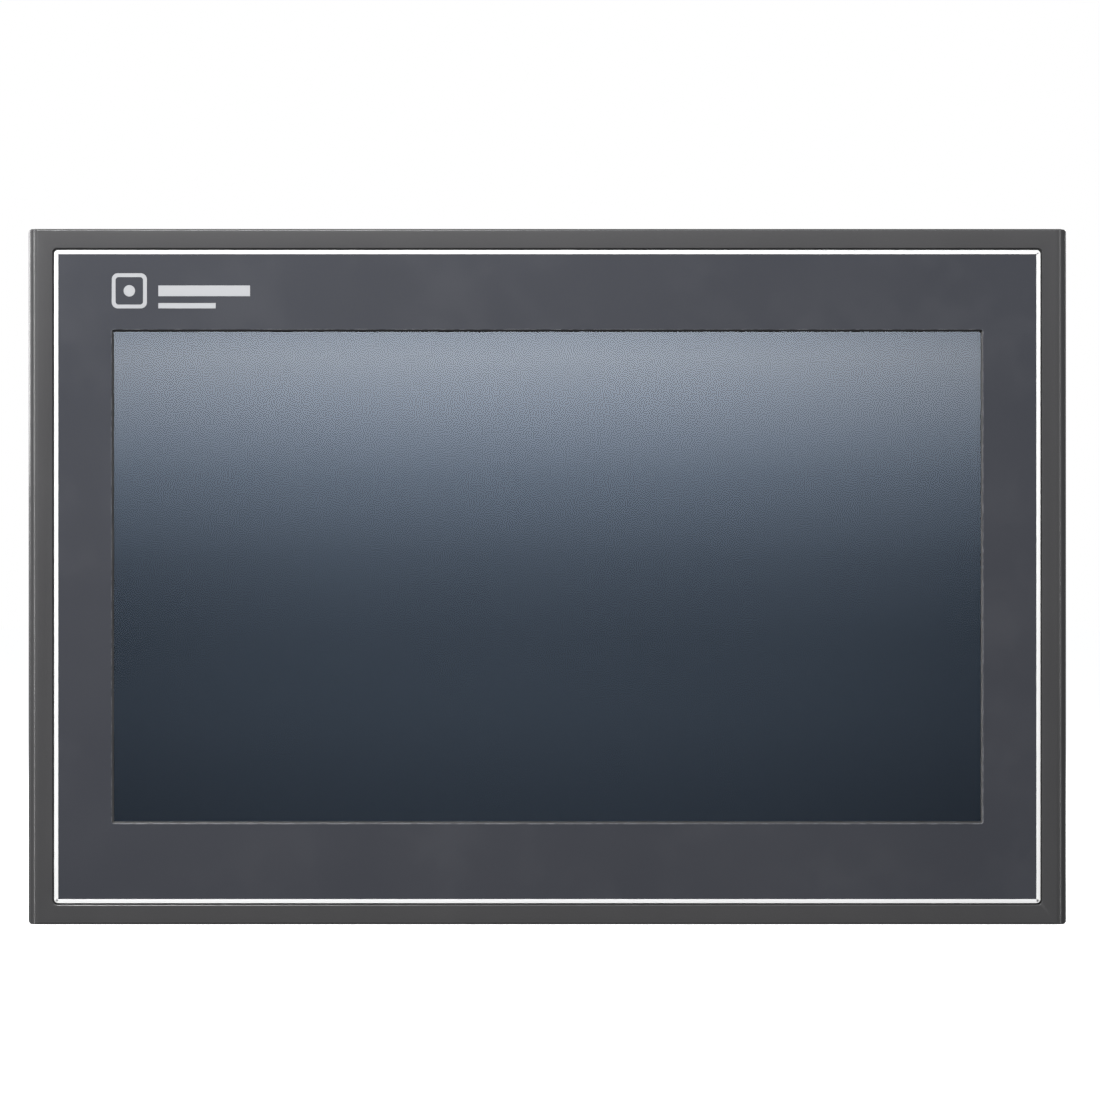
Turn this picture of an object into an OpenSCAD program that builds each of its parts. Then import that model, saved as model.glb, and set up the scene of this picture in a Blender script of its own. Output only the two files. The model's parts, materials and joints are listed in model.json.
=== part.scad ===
// Wide-format operator panel with a resistive touch screen, for mounting in a cabinet cut-out.
// Frame: +Z up, +X to the right as the operator sees it, +Y into the cabinet.
// The origin is the centre of the cut-out, in the plane of the cabinet panel's front face.

/* [Bezel] */
// Width of the front bezel
bezel_w = 272; // [266:1:280]
// Height of the front bezel
bezel_h = 182; // [178:1:190]
// How far the bezel stands out in front of the cabinet panel
bezel_t = 8; // [8:0.5:10]
// Rounding of the bezel's left and right front edges
side_round = 3.2; // [1:0.1:3.4]
// Rounding of the bezel's top and bottom front edges
top_round = 0.6; // [0.3:0.1:1.5]
// Corner radius of the bezel's outline
bezel_corner = 1; // [0.6:0.1:3]

/* [Display] */
// Width of the window in the overlay
window_w = 228; // [226:0.1:229]
// Height of the window in the overlay
window_h = 129.2; // [127:0.1:130]
// Width of the lit area of the display
active_w = 223.6; // [220:0.1:225]
// Height of the lit area of the display
active_h = 126.8; // [124:0.1:127]
// How far the lit area sits to the right of the window's centre
active_shift = 0.2; // [0:0.1:0.8]
// How far the lit area sits above the window's centre
active_rise = 0.8; // [0:0.1:1]

/* [Overlay] */
// Width of the printed overlay film
overlay_w = 258.2; // [256:0.1:262]
// Height of the printed overlay film
overlay_h = 171; // [168:0.1:174]
// Width of the white line round the overlay's edge
line_w = 1.05; // [0.6:0.05:2]

/* [Housing] */
// Width of the housing that passes through the cut-out
housing_w = 254; // [250:1:256]
// Height of the housing that passes through the cut-out
housing_h = 164; // [162:1:166]
// Depth of the housing behind the cabinet panel, without the raised back
housing_d = 40; // [40:1:44]
// Wall thickness of the rear cover
wall = 2.2; // [2:0.1:2.6]

/* [Clamps] */
// Distance of each mounting clamp from the centre line
clamp_x = 108; // [104:1:112]
// Thickness of the cabinet panel that the clamps are set for
panel_t = 3; // [2:0.5:5]

/* [Hidden] */
$fn = 48;

// Depths along Y of the front stack, from the operator's side inwards.
flange_back = -1;
pocket_y = -bezel_t + 0.5;
overlay_y = pocket_y - 0.3;
ledge_back = pocket_y + 1;
touch_y = ledge_back + 0.3;
glass_y = touch_y + 0.2;
lcd_y = glass_y + 1.1 + 0.5;
cell_y = lcd_y + 0.3;
sheet_y = cell_y + 1.2;
guide_y = sheet_y + 0.3;
reflect_y = guide_y + 2.6;
pan_y = reflect_y + 0.2;
pan_back = pan_y + 0.6;
skirt_back = 10;

// Bezel details.
skirt_t = 2.2;
window_slope = 0.55;
ledge_w = window_w - 2 * window_slope;
ledge_h = window_h - 2 * window_slope;
pocket_play = 0.4;
print_t = 0.05;
gasket_w = 3;
gasket_inner_w = housing_w + 3;
gasket_inner_h = housing_h + 3;

// Touch panel and display module outlines.
touch_w = 231;
touch_h = 132;
module_w = 235;
module_h = 143;
frame_t = 0.3;

// Flat cable of the touch panel.
tail_x = -60;
tail_w = 9;
tail_t = 0.3;
tail_low = -module_h / 2 - 2.6;

// Depths of the boards and the back.
chassis_y = 4.6;
chassis_t = 1;
board_y = 13;
board_t = 1.6;
board_back = board_y + board_t;
board_left = -104;
board_right = 119;
board_low = -59;
board_high = 62;
back_y = housing_d;
plateau_y = housing_d + 6;
plateau_w = 176;
plateau_low = -52;
plateau_high = 58;
plateau_slope = 6;
inner_y = skirt_back + 2.2;

// Port recess along the lower edge of the housing.
notch_half = 92;
port_z = -62;
plate_t = 0.8;
power_x = 76;
earth_x = 57;
com_x = [34, -4];
usb_device_x = -34;
usb_host_x = -52;
lan_x = -75;
com_y = board_back + 6.6;
jack_pitch = 24.99;

// Service bay in the raised back.
bay_left = 20;
bay_right = 70;
bay_low = -14.6;
bay_high = 26;
bay_wall = 1.6;
bay_floor = 30;
door_t = 1.4;
door_gap = 0.25;
hinge_z = bay_low + 1.9;
hinge_y = plateau_y - 1.5;
hinge_pin_r = 0.6;
barrel_r = 1.4;
service_y = bay_floor - board_t;
cell_x = 36;
cell_z = 6;
dip_x = 59;
dip_z = 14;
lever_pitch = 2.54;
reset_z = -3;

// Mounting clamps.
screw_z = housing_h / 2 + 4.6;
clamp_front = 14;
clamp_back = 22;
slot_back = 27;
thread_r = 2;
pad_r = 3.2;
pad_t = 2.4;
clamp_w = 12.6;
CLAMPS = [[clamp_x, 1], [-clamp_x, 1], [-clamp_x, -1], [clamp_x, -1]];

// Fasteners.
m3_hole_r = 1.5;
m3_r = 1.45;
chassis_screw_at = [for (z = [75.8, -75.8], x = [-121, 0, 121]) [x, z]];
spacer_at = [[-98, 56], [8, 56], [112, 56], [-98, -52], [8, -34], [112, -52]];
service_spacer_at = [[24, 22], [66, 22], [24, -10.6], [66, -10.6]];
cover_screw_at = [for (z = [72, -72], x = [-112, 112]) [x, z]];
well_floor_y = 16;
well_floor_t = 4;

// A rounded rectangle, centred, with true arcs at its corners.
module round_rect(w, h, r) {
    square([w - 2 * r, h], center = true);
    square([w, h - 2 * r], center = true);
    for (sx = [-1, 1], sy = [-1, 1]) translate([sx * (w / 2 - r), sy * (h / 2 - r)]) circle(r);
}

// Points of a quarter circle from angle a0 on.
function quarter(cx, cy, r, a0, n) = [for (k = [0:n]) [cx + r * cos(a0 + 90 * k / n), cy + r * sin(a0 + 90 * k / n)]];

// A rounded rectangle's outline with short flats round its corners, centred.
function outline_points(w, h, r, n = 6) = concat(
    quarter(w / 2 - r, h / 2 - r, r, 0, n), quarter(r - w / 2, h / 2 - r, r, 90, n),
    quarter(r - w / 2, r - h / 2, r, 180, n), quarter(w / 2 - r, r - h / 2, r, 270, n)
);

// A block's section from depth y0 to y1, with its two front corners rounded by r.
function front_rounded(w, y0, y1, r, n = 10) = concat(
    [[w / 2, y1], [-w / 2, y1]],
    quarter(r - w / 2, y0 + r, r, 180, n), quarter(w / 2 - r, y0 + r, r, 270, n)
);

// Extrudes an X-Z outline from depth y0 to depth y1.
module slab(y0, y1) {
    translate([0, y1, 0]) rotate([90, 0, 0]) linear_extrude(y1 - y0) children();
}

module rounded_slab(w, h, r, y0, y1) {
    slab(y0, y1) round_rect(w, h, r);
}

module ring_slab(w, h, r, inner_w, inner_h, inner_r, y0, y1) {
    difference() {
        rounded_slab(w, h, r, y0, y1);
        rounded_slab(inner_w, inner_h, inner_r, y0 - 1, y1 + 1);
    }
}

// A box given by its low and high corners.
module block(low, high) {
    translate(low) cube(high - low);
}

// A cylinder along +Y from depth y0 to y1.
module rod_y(x, z, r, y0, y1) {
    translate([x, y0, z]) rotate([-90, 0, 0]) cylinder(h = y1 - y0, r = r);
}

// A cylinder along +X from x0 to x1.
module rod_x(x0, x1, y, z, r) {
    translate([x0, y, z]) rotate([0, 90, 0]) cylinder(h = x1 - x0, r = r);
}

// A cylinder along +Z from height z0 to z1.
module rod_z(x, y, r, z0, z1) {
    translate([x, y, z0]) cylinder(h = z1 - z0, r = r);
}

// ---- Front ----

// The window in the bezel, with sloping sides that catch the light.
module window_cut() {
    intersection() {
        linear_extrude(window_h + 4, center = true)
            polygon([[-window_w / 2, pocket_y], [window_w / 2, pocket_y],
                [ledge_w / 2, ledge_back], [-ledge_w / 2, ledge_back]]);
        rotate([90, 0, 90]) linear_extrude(window_w + 4, center = true)
            polygon([[pocket_y, -window_h / 2], [pocket_y, window_h / 2],
                [ledge_back, ledge_h / 2], [ledge_back, -ledge_h / 2]]);
    }
}

module front_bezel() {
    post_r = 3.4;
    color([0.34, 0.34, 0.36]) {
        difference() {
            union() {
                intersection() {
                    slab(-bezel_t, flange_back) polygon(outline_points(bezel_w, bezel_h, bezel_corner));
                    linear_extrude(bezel_h + 2, center = true)
                        polygon(front_rounded(bezel_w, -bezel_t, flange_back, side_round));
                    rotate([0, 90, 0]) linear_extrude(bezel_w + 2, center = true)
                        polygon(front_rounded(bezel_h, -bezel_t, flange_back, top_round, 4));
                }
                ring_slab(housing_w, housing_h, 3, housing_w - 2 * skirt_t, housing_h - 2 * skirt_t, 1,
                    flange_back - 1, skirt_back);
            }
            // Pocket for the overlay.
            rounded_slab(overlay_w + 2 * pocket_play, overlay_h + 2 * pocket_play, 1.2, -bezel_t - 1, pocket_y);
            window_cut();
            // Seats for the touch panel and the display module, from behind.
            rounded_slab(touch_w + 1, touch_h + 1, 0.6, ledge_back, lcd_y);
            rounded_slab(module_w + 1, module_h + 1, 0.6, lcd_y - 0.5, flange_back + 5);
            // Channel for the touch panel's flat cable.
            block([tail_x - 2, ledge_back, tail_low - 1], [tail_x + tail_w + 2, flange_back + 1, -touch_h / 2]);
            // Groove for the gasket.
            ring_slab(gasket_inner_w + 2 * gasket_w, gasket_inner_h + 2 * gasket_w, 4,
                gasket_inner_w, gasket_inner_h, 3, flange_back - 1.4, flange_back + 1);
        }
        // Screw posts that carry the chassis.
        for (p = chassis_screw_at) difference() {
            rod_y(p[0], p[1], post_r, flange_back, chassis_y);
            rod_y(p[0], p[1], m3_hole_r, flange_back + 0.5, chassis_y + 1);
        }
    }
}

module front_overlay() {
    color([0.31, 0.32, 0.35])
        ring_slab(overlay_w, overlay_h, 1, window_w, window_h, 0.6, overlay_y, pocket_y);
}

module border_line() {
    color("white")
        ring_slab(overlay_w - 0.1, overlay_h - 0.1, 0.95, overlay_w - 2 * line_w, overlay_h - 2 * line_w, 0.5,
            overlay_y - print_t, overlay_y);
}

// A plain generic mark: an outlined square with a dot in it, and two bars.
module maker_mark() {
    left = -window_w / 2;
    low = window_h / 2 + 5.6;
    side = 9.2;
    stroke = 1;
    bars_left = left + side + 3;
    color("gainsboro") {
        translate([left + side / 2, 0, low + side / 2]) {
            ring_slab(side, side, 1.6, side - 2 * stroke, side - 2 * stroke, 0.8, overlay_y - print_t, overlay_y);
            rod_y(0, 0, 1.5, overlay_y - print_t, overlay_y);
        }
        block([bars_left, overlay_y - print_t, low + 3.2], [bars_left + 24, overlay_y, low + 6]);
        block([bars_left, overlay_y - print_t, low], [bars_left + 15, overlay_y, low + 1.4]);
    }
}

module panel_gasket() {
    color([0.08, 0.08, 0.08])
        ring_slab(gasket_inner_w + 2 * gasket_w - 0.2, gasket_inner_h + 2 * gasket_w - 0.2, 3.9,
            gasket_inner_w + 0.2, gasket_inner_h + 0.2, 3.1, flange_back - 1.4, 0);
}

// Foam tape from bezel to touch panel and from touch panel to display, and pads behind the display.
module foam_parts() {
    color([0.1, 0.1, 0.1]) {
        for (x = [-108, 108], z = [-64, 64])
            block([x - 6, pan_back, z - 5], [x + 6, chassis_y, z + 5]);
        ring_slab(touch_w, touch_h, 0.5, ledge_w + 0.4, ledge_h + 0.4, 0.5, ledge_back, touch_y);
        ring_slab(touch_w, touch_h, 0.5, ledge_w + 0.4, ledge_h + 0.4, 0.5, glass_y + 1.1, lcd_y);
    }
}

module touch_film() {
    color([0.6, 0.65, 0.7, 0.4]) rounded_slab(touch_w, touch_h, 0.5, touch_y, glass_y);
}

module touch_glass() {
    color([0.6, 0.7, 0.7, 0.4]) rounded_slab(touch_w, touch_h, 0.5, glass_y, glass_y + 1.1);
}

// Flat cable from the touch panel's lower edge, round the display module, to the mainboard.
module touch_tail() {
    y0 = touch_y + 0.2;
    turn_y = skirt_back - 1.6;
    right = tail_x + tail_w;
    plug_z = board_low + 5;
    color([0.75, 0.5, 0.15]) {
        block([tail_x, y0, tail_low], [right, y0 + tail_t, -touch_h / 2 - 0.05]);
        block([tail_x, y0, tail_low - tail_t], [right, turn_y, tail_low]);
        block([tail_x, turn_y - tail_t, tail_low - tail_t], [right, turn_y, plug_z + tail_t]);
        block([tail_x, turn_y - tail_t, plug_z], [right, board_y - 2, plug_z + tail_t]);
    }
    color("ivory") block([tail_x - 1.5, board_y - 2, plug_z - 2.5], [right + 1.5, board_y, plug_z + 2.5]);
}

// ---- Display module ----

module lcd_front_frame() {
    color("silver") difference() {
        rounded_slab(module_w, module_h, 0.5, lcd_y, pan_back);
        rounded_slab(module_w - 2 * frame_t, module_h - 2 * frame_t, 0.3, cell_y, pan_back + 1);
        rounded_slab(window_w + 0.6, window_h + 0.6, 0.3, lcd_y - 1, cell_y + 1);
    }
}

module lcd_cell() {
    color([0.05, 0.05, 0.06]) block([-116, cell_y, -66], [116, sheet_y, 66]);
}

// The front polariser, which shows as the lit area's edge.
module lcd_polariser() {
    color([0.2, 0.24, 0.3])
        block([active_shift - active_w / 2, lcd_y + 0.1, active_rise - active_h / 2],
            [active_shift + active_w / 2, cell_y, active_rise + active_h / 2]);
}

// Diffuser in front of the light guide, and white reflector behind it.
module optical_sheets() {
    color("white") {
        block([-115, sheet_y, -66], [115, guide_y, 66]);
        block([-115, reflect_y, -66], [115, pan_y, 66]);
    }
}

module light_guide() {
    color([0.85, 0.9, 0.95, 0.6]) block([-115, guide_y, -65], [115, reflect_y, 66]);
}

module led_strip() {
    strip_low = -68.4;
    color("gold") block([-113, guide_y, strip_low], [113, reflect_y, strip_low + 1]);
    color("white") for (k = [0:35])
        block([-109 + k * 6.2, guide_y + 0.4, strip_low + 1], [-106 + k * 6.2, reflect_y - 0.4, strip_low + 2.2]);
}

module lcd_rear_pan() {
    color("gainsboro") difference() {
        rounded_slab(module_w - 2 * frame_t, module_h - 2 * frame_t, 0.3, pan_y, pan_back);
        for (x = [-90, 90]) rod_y(x, 0, 6, pan_y - 1, pan_back + 1);
    }
}

module lcd_driver_board() {
    color("darkgreen") block([-70, pan_back, 50], [60, pan_back + 1, 66]);
    color([0.1, 0.1, 0.1]) {
        for (x = [-50, -26]) block([x, pan_back + 1, 53], [x + 12, pan_back + 2.1, 62]);
        block([20, pan_back + 1, 54], [44, pan_back + 2.6, 59]);
    }
}

// Flat display cable from the driver board through the chassis to the mainboard.
module lcd_cable() {
    start_y = pan_back + 2.6;
    color([0.9, 0.9, 0.88]) {
        block([24, start_y, 54.5], [40, start_y + 0.4, 70]);
        block([24, start_y, 70], [40, board_y - 2, 70.4]);
        block([24, board_y - 2.4, 52], [40, board_y - 2, 70]);
    }
    color("ivory") block([22, board_y - 2, 50], [42, board_y, 56]);
}

// ---- Structure ----

module chassis_plate() {
    color("silver") difference() {
        union() {
            rounded_slab(248, 158, 4, chassis_y, chassis_y + chassis_t);
            // Stiffening flanges folded back at each side.
            for (s = [-1, 1])
                translate([s * 123.5, chassis_y + 2.5, 0]) cube([1, 5, 130], center = true);
        }
        for (p = concat(chassis_screw_at, spacer_at)) rod_y(p[0], p[1], 1.7, chassis_y - 1, chassis_y + 2);
        // Cable openings and lightening windows.
        block([16, chassis_y - 1, 64], [48, chassis_y + 2, 78]);
        block([-63, chassis_y - 1, -78], [-48, chassis_y + 2, -58]);
        for (x = [-78, -26, 34, 86]) rounded_window(x, 8, 36, 50);
    }
}

module rounded_window(x, z, w, h) {
    translate([x, 0, z]) rounded_slab(w, h, 4, chassis_y - 1, chassis_y + 2);
}

// A pan-head screw along Y: its head stands on depth y, rearwards, and its shank points to the front.
module screw_y(x, z, y, shank, head_r = 2.75, head_h = 2, r = m3_r) {
    difference() {
        union() {
            rod_y(x, z, head_r, y, y + head_h);
            rod_y(x, z, r, y - shank, y + 0.1);
        }
        for (a = [0, 90])
            translate([x, y + head_h, z]) rotate([0, a, 0]) cube([head_r * 1.1, 1.6, 0.6], center = true);
    }
}

module m3_screws() {
    color("silver") {
        for (p = chassis_screw_at) screw_y(p[0], p[1], chassis_y + chassis_t, 5);
        for (p = spacer_at) screw_y(p[0], p[1], board_back, 5);
        for (p = service_spacer_at) screw_y(p[0], p[1], service_y + board_t, 4, head_r = 2.2, head_h = 1.4, r = 1.2);
    }
}

// Hexagonal spacer with a tapped hole, along Y.
module spacer(p, y0, y1, across = 5.5, hole_r = m3_hole_r) {
    difference() {
        translate([p[0], y0, p[1]]) rotate([-90, 0, 0]) cylinder(h = y1 - y0, r = across / sqrt(3), $fn = 6);
        rod_y(p[0], p[1], hole_r, y0 - 1, y1 + 1);
    }
}

module board_spacers() {
    color("goldenrod") {
        for (p = spacer_at) spacer(p, chassis_y + chassis_t, board_y);
        for (p = service_spacer_at) spacer(p, board_back, service_y, 4.5, 1.25);
        for (p = cover_screw_at) spacer(p, chassis_y + chassis_t, well_floor_y);
    }
}

// A D-shaped outline for a nine-way connector, wider by grow all round.
function d_outline(grow = 0) = [
    [-8.3 - grow, 4.1 + grow], [8.3 + grow, 4.1 + grow],
    [7 + grow, -4.1 - grow], [-7 - grow, -4.1 - grow]
];

// Shield plate with a cut-out for each port.
module port_plate() {
    color("silver") difference() {
        block([-notch_half + wall + 0.2, inner_y + 1.2, port_z], [notch_half - wall - 0.2, back_y - 3, port_z + plate_t]);
        for (x = com_x) translate([x, com_y, port_z - 1]) linear_extrude(4) polygon(d_outline(0.6));
        for (x = com_x, s = [-1, 1]) rod_z(x + s * jack_pitch / 2, com_y, 1.7, port_z - 1, port_z + 2);
        block([lan_x - 8.2, board_back - 0.2, port_z - 1], [lan_x + 8.2, board_back + 13.8, port_z + 2]);
        block([usb_host_x - 6.9, board_back - 0.2, port_z - 1], [usb_host_x + 6.9, board_back + 6.6, port_z + 2]);
        block([usb_device_x - 6.3, board_back - 0.2, port_z - 1], [usb_device_x + 6.3, board_back + 11.2, port_z + 2]);
        block([power_x - 10.3, board_back - 0.2, port_z - 1], [power_x + 10.3, board_back + 12.4, port_z + 2]);
        rod_z(earth_x, com_y, 2.1, port_z - 1, port_z + 2);
    }
}

// ---- Boards and parts on them ----

module mainboard() {
    color("darkgreen") difference() {
        block([board_left, board_y, board_low], [board_right, board_back, board_high]);
        for (p = spacer_at) rod_y(p[0], p[1], 1.6, board_y - 1, board_back + 1);
        for (p = service_spacer_at) rod_y(p[0], p[1], 1.1, board_y - 1, board_back + 1);
    }
}

module chip(x, z, w, h, t) {
    block([x - w / 2, board_back, z - h / 2], [x + w / 2, board_back + t, z + h / 2]);
}

module processor() {
    color([0.12, 0.12, 0.12]) chip(-30, 12, 27, 27, 2);
}

module memory_chips() {
    color([0.12, 0.12, 0.12]) {
        for (z = [-14, 4, 22]) chip(-56, z, 12, 14, 1.2);
        for (z = [-20, 0]) chip(4, z, 12, 18, 1.2);
        chip(-78, 30, 10, 10, 1.4);
    }
}

module heat_sink() {
    base_y = board_back + 2;
    color([0.15, 0.15, 0.16]) {
        block([-46, base_y, -4], [-14, base_y + 2.5, 28]);
        for (k = [0:7]) block([-46 + k * 4.4, base_y + 2.5, -4], [-44.8 + k * 4.4, base_y + 10, 28]);
    }
}

module capacitors() {
    color([0.15, 0.2, 0.45]) {
        for (x = [82, 94, 106]) rod_y(x, -14, 4.5, board_back, board_back + 11);
        for (x = [-90, -80]) rod_y(x, -6, 3.15, board_back, board_back + 7);
        for (z = [40, 30]) rod_y(-92, z, 3.15, board_back, board_back + 7);
    }
}

module inductors() {
    color([0.25, 0.25, 0.26]) {
        for (x = [84, 102]) chip(x, -34, 12.5, 12.5, 6);
        chip(92, 8, 12.5, 12.5, 6);
        chip(-86, 12, 8, 8, 4);
    }
}

module buzzer() {
    color([0.1, 0.1, 0.1]) difference() {
        rod_y(-86, -30, 6, board_back, board_back + 8);
        rod_y(-86, -30, 1, board_back + 6, board_back + 9);
    }
}

// Nine-way serial sockets that face down through the port plate.
module com_port(x) {
    pins = concat([for (k = [0:4]) [-5.54 + 2.77 * k, 1.42]], [for (k = [0:3]) [-4.155 + 2.77 * k, -1.42]]);
    translate([x, com_y, 0]) difference() {
        union() {
            // Insulator and its board bracket.
            block([-9.6, -com_y + board_back, port_z + plate_t + 0.8], [9.6, 5.4, board_low + 10]);
            // Flange with the two jack-screw holes.
            difference() {
                block([-15.4, -6.2, port_z + plate_t], [15.4, 6.2, port_z + plate_t + 0.8]);
                for (s = [-1, 1]) rod_z(s * jack_pitch / 2, 0, 1.6, port_z, port_z + 4);
            }
            translate([0, 0, port_z - 5]) linear_extrude(5 + plate_t) polygon(d_outline(0));
        }
        for (p = pins) rod_z(p[0], p[1], 0.55, port_z - 6, port_z - 1);
    }
}

module com_ports() {
    color("silver") for (x = com_x) com_port(x);
}

// Hexagonal jack screws, tapped for a cable plug's own screws.
module com_jack_screws() {
    color("silver") for (x = com_x, s = [-1, 1]) translate([x + s * jack_pitch / 2, com_y, 0]) difference() {
        union() {
            translate([0, 0, port_z - 5]) cylinder(h = 5, r = 2.75, $fn = 6);
            rod_z(0, 0, 1.5, port_z - 0.1, port_z + 5);
        }
        rod_z(0, 0, 1.15, port_z - 6, port_z + 1);
    }
}

// Network socket: a shielded box with a stepped mouth.
module lan_jack() {
    low = port_z - 0.6;
    mid_y = board_back + 6.7;
    color("silver") difference() {
        block([lan_x - 8, board_back, low], [lan_x + 8, board_back + 13.4, board_low + 19]);
        block([lan_x - 5.95, mid_y - 3.6, low - 1], [lan_x + 5.95, mid_y + 3.3, low + 13]);
        block([lan_x - 3.1, mid_y + 2, low - 1], [lan_x + 3.1, mid_y + 4.8, low + 13]);
        block([lan_x - 1.9, mid_y + 4, low - 1], [lan_x + 1.9, mid_y + 5.7, low + 13]);
        for (s = [-1, 1]) block([lan_x + s * 5.5 - 1.6, mid_y + 4.2, low - 1], [lan_x + s * 5.5 + 1.6, mid_y + 5.8, low + 1]);
    }
    color("gold") for (k = [0:7])
        block([lan_x - 3.75 + 1.02 * k, mid_y - 3.6, low + 2], [lan_x - 3.4 + 1.02 * k, mid_y - 3.2, low + 13]);
    color("limegreen") block([lan_x - 7.1, mid_y + 4.2, low + 0.2], [lan_x - 3.9, mid_y + 5.8, low + 1]);
    color("orange") block([lan_x + 3.9, mid_y + 4.2, low + 0.2], [lan_x + 7.1, mid_y + 5.8, low + 1]);
}

// Host socket with its tongue, and the squarer device socket with its post.
module usb_ports() {
    low = port_z - 0.6;
    color("silver") difference() {
        block([usb_host_x - 6.65, board_back, low], [usb_host_x + 6.65, board_back + 6.4, board_low + 13]);
        block([usb_host_x - 6.25, board_back + 0.4, low - 1], [usb_host_x + 6.25, board_back + 6, low + 10]);
    }
    color("white") block([usb_host_x - 5.7, board_back + 0.8, low + 0.6], [usb_host_x + 5.7, board_back + 2.6, low + 10]);
    color("silver") difference() {
        block([usb_device_x - 6, board_back, low], [usb_device_x + 6, board_back + 10.9, board_low + 15]);
        block([usb_device_x - 4.25, board_back + 1.6, low - 1], [usb_device_x + 4.25, board_back + 9.3, low + 10]);
    }
    color("white") block([usb_device_x - 2.8, board_back + 3.9, low + 0.6], [usb_device_x + 2.8, board_back + 7, low + 10]);
}

// Three-way power header, and the plug that pulls off it downwards.
power_y0 = board_back;
power_y1 = board_back + 12;
module power_socket() {
    low = port_z - 0.6;
    color([0.1, 0.35, 0.2]) difference() {
        block([power_x - 10, power_y0, low], [power_x + 10, power_y1, board_low + 10]);
        block([power_x - 8.6, power_y0 + 1.4, low - 1], [power_x + 8.6, power_y1 - 1.4, low + 8]);
    }
    color("silver") for (k = [-1:1])
        block([power_x + 5.08 * k - 0.5, power_y0 + 5, low + 1], [power_x + 5.08 * k + 0.5, power_y0 + 6, low + 8]);
}

module power_plug() {
    low = port_z - 0.6;
    top = low + 7.8;
    color([0.12, 0.45, 0.25]) difference() {
        union() {
            block([power_x - 8.4, power_y0 + 1.6, low], [power_x + 8.4, power_y1 - 1.6, top]);
            block([power_x - 9.6, power_y0 + 0.4, low - 9], [power_x + 9.6, power_y1 - 0.4, low - 0.2]);
            block([power_x - 8.4, power_y0 + 1.6, low - 1], [power_x + 8.4, power_y1 - 1.6, low + 0.2]);
        }
        for (k = [-1:1]) {
            // Contact slots, wire entries and screwdriver wells.
            block([power_x + 5.08 * k - 0.8, power_y0 + 4.7, low + 0.7], [power_x + 5.08 * k + 0.8, power_y0 + 6.3, top + 1]);
            block([power_x + 5.08 * k - 1.6, power_y0 + 2, low - 10], [power_x + 5.08 * k + 1.6, power_y0 + 5.4, low - 3]);
            rod_y(power_x + 5.08 * k, low - 5, 1.9, power_y1 - 4, power_y1 + 1);
        }
    }
}

module power_plug_screws() {
    low = port_z - 0.6;
    color("silver") for (k = [-1:1]) difference() {
        rod_y(power_x + 5.08 * k, low - 5, 1.7, power_y1 - 4, power_y1 - 1.6);
        translate([power_x + 5.08 * k, power_y1 - 1.6, low - 5]) rotate([0, 45, 0])
            cube([4, 1.2, 0.6], center = true);
    }
}

// Memory card socket at the board's right edge; its mouth lines up with the slot in the cover.
module card_socket() {
    color("silver") difference() {
        block([board_right - 27, board_back, 22], [board_right + 4, board_back + 3.4, 51]);
        block([board_right - 26, board_back + 0.4, 23.8], [board_right + 5, board_back + 2.9, 49.2]);
    }
}

// ---- Service bay ----

module service_board() {
    color("darkgreen") difference() {
        block([bay_left - 1, service_y, bay_low - 1], [bay_right + 1, bay_floor, bay_high + 1]);
        for (p = service_spacer_at) rod_y(p[0], p[1], 1.3, service_y - 1, bay_floor + 1);
    }
}

module battery_holder() {
    color([0.1, 0.1, 0.1]) difference() {
        union() {
            rod_y(cell_x, cell_z, 11.6, bay_floor, bay_floor + 5);
            block([cell_x - 4, bay_floor, cell_z - 13.4], [cell_x + 4, bay_floor + 3, cell_z - 11]);
        }
        rod_y(cell_x, cell_z, 10.2, bay_floor + 1.2, bay_floor + 6);
        block([cell_x - 6, bay_floor + 2.4, cell_z + 6], [cell_x + 6, bay_floor + 6, cell_z + 14]);
    }
    // Sprung contact over the cell's rim.
    color("silver") block([cell_x - 2.5, bay_floor + 4.5, cell_z - 11.4], [cell_x + 2.5, bay_floor + 5.6, cell_z - 8.4]);
}

module coin_cell() {
    color("lightgrey") {
        rod_y(cell_x, cell_z, 10, bay_floor + 1.3, bay_floor + 4.4);
    }
}

// Two-way switch block; each lever slides up and down in its own slot.
module dip_switch() {
    color([0.75, 0.12, 0.1]) difference() {
        block([dip_x - 3.4, bay_floor, dip_z - 4.9], [dip_x + 3.4, bay_floor + 4.6, dip_z + 4.9]);
        for (s = [-0.5, 0.5])
            block([dip_x + s * lever_pitch - 0.75, bay_floor + 2.4, dip_z - 1.6],
                [dip_x + s * lever_pitch + 0.75, bay_floor + 6, dip_z + 1.6]);
    }
}

module dip_lever(side) {
    x = dip_x + side * lever_pitch / 2;
    color("white") {
        block([x - 0.65, bay_floor + 2.5, dip_z - 1.5], [x + 0.65, bay_floor + 5.6, dip_z + 0.1]);
    }
}

module reset_switch() {
    color([0.13, 0.13, 0.13]) difference() {
        block([dip_x - 3, bay_floor, reset_z - 3], [dip_x + 3, bay_floor + 3.6, reset_z + 3]);
        rod_y(dip_x, reset_z, 1.8, bay_floor + 2, bay_floor + 5);
    }
}

module reset_button() {
    color([0.85, 0.85, 0.82]) rod_y(dip_x, reset_z, 1.75, bay_floor + 2.6, bay_floor + 6);
}

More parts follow.
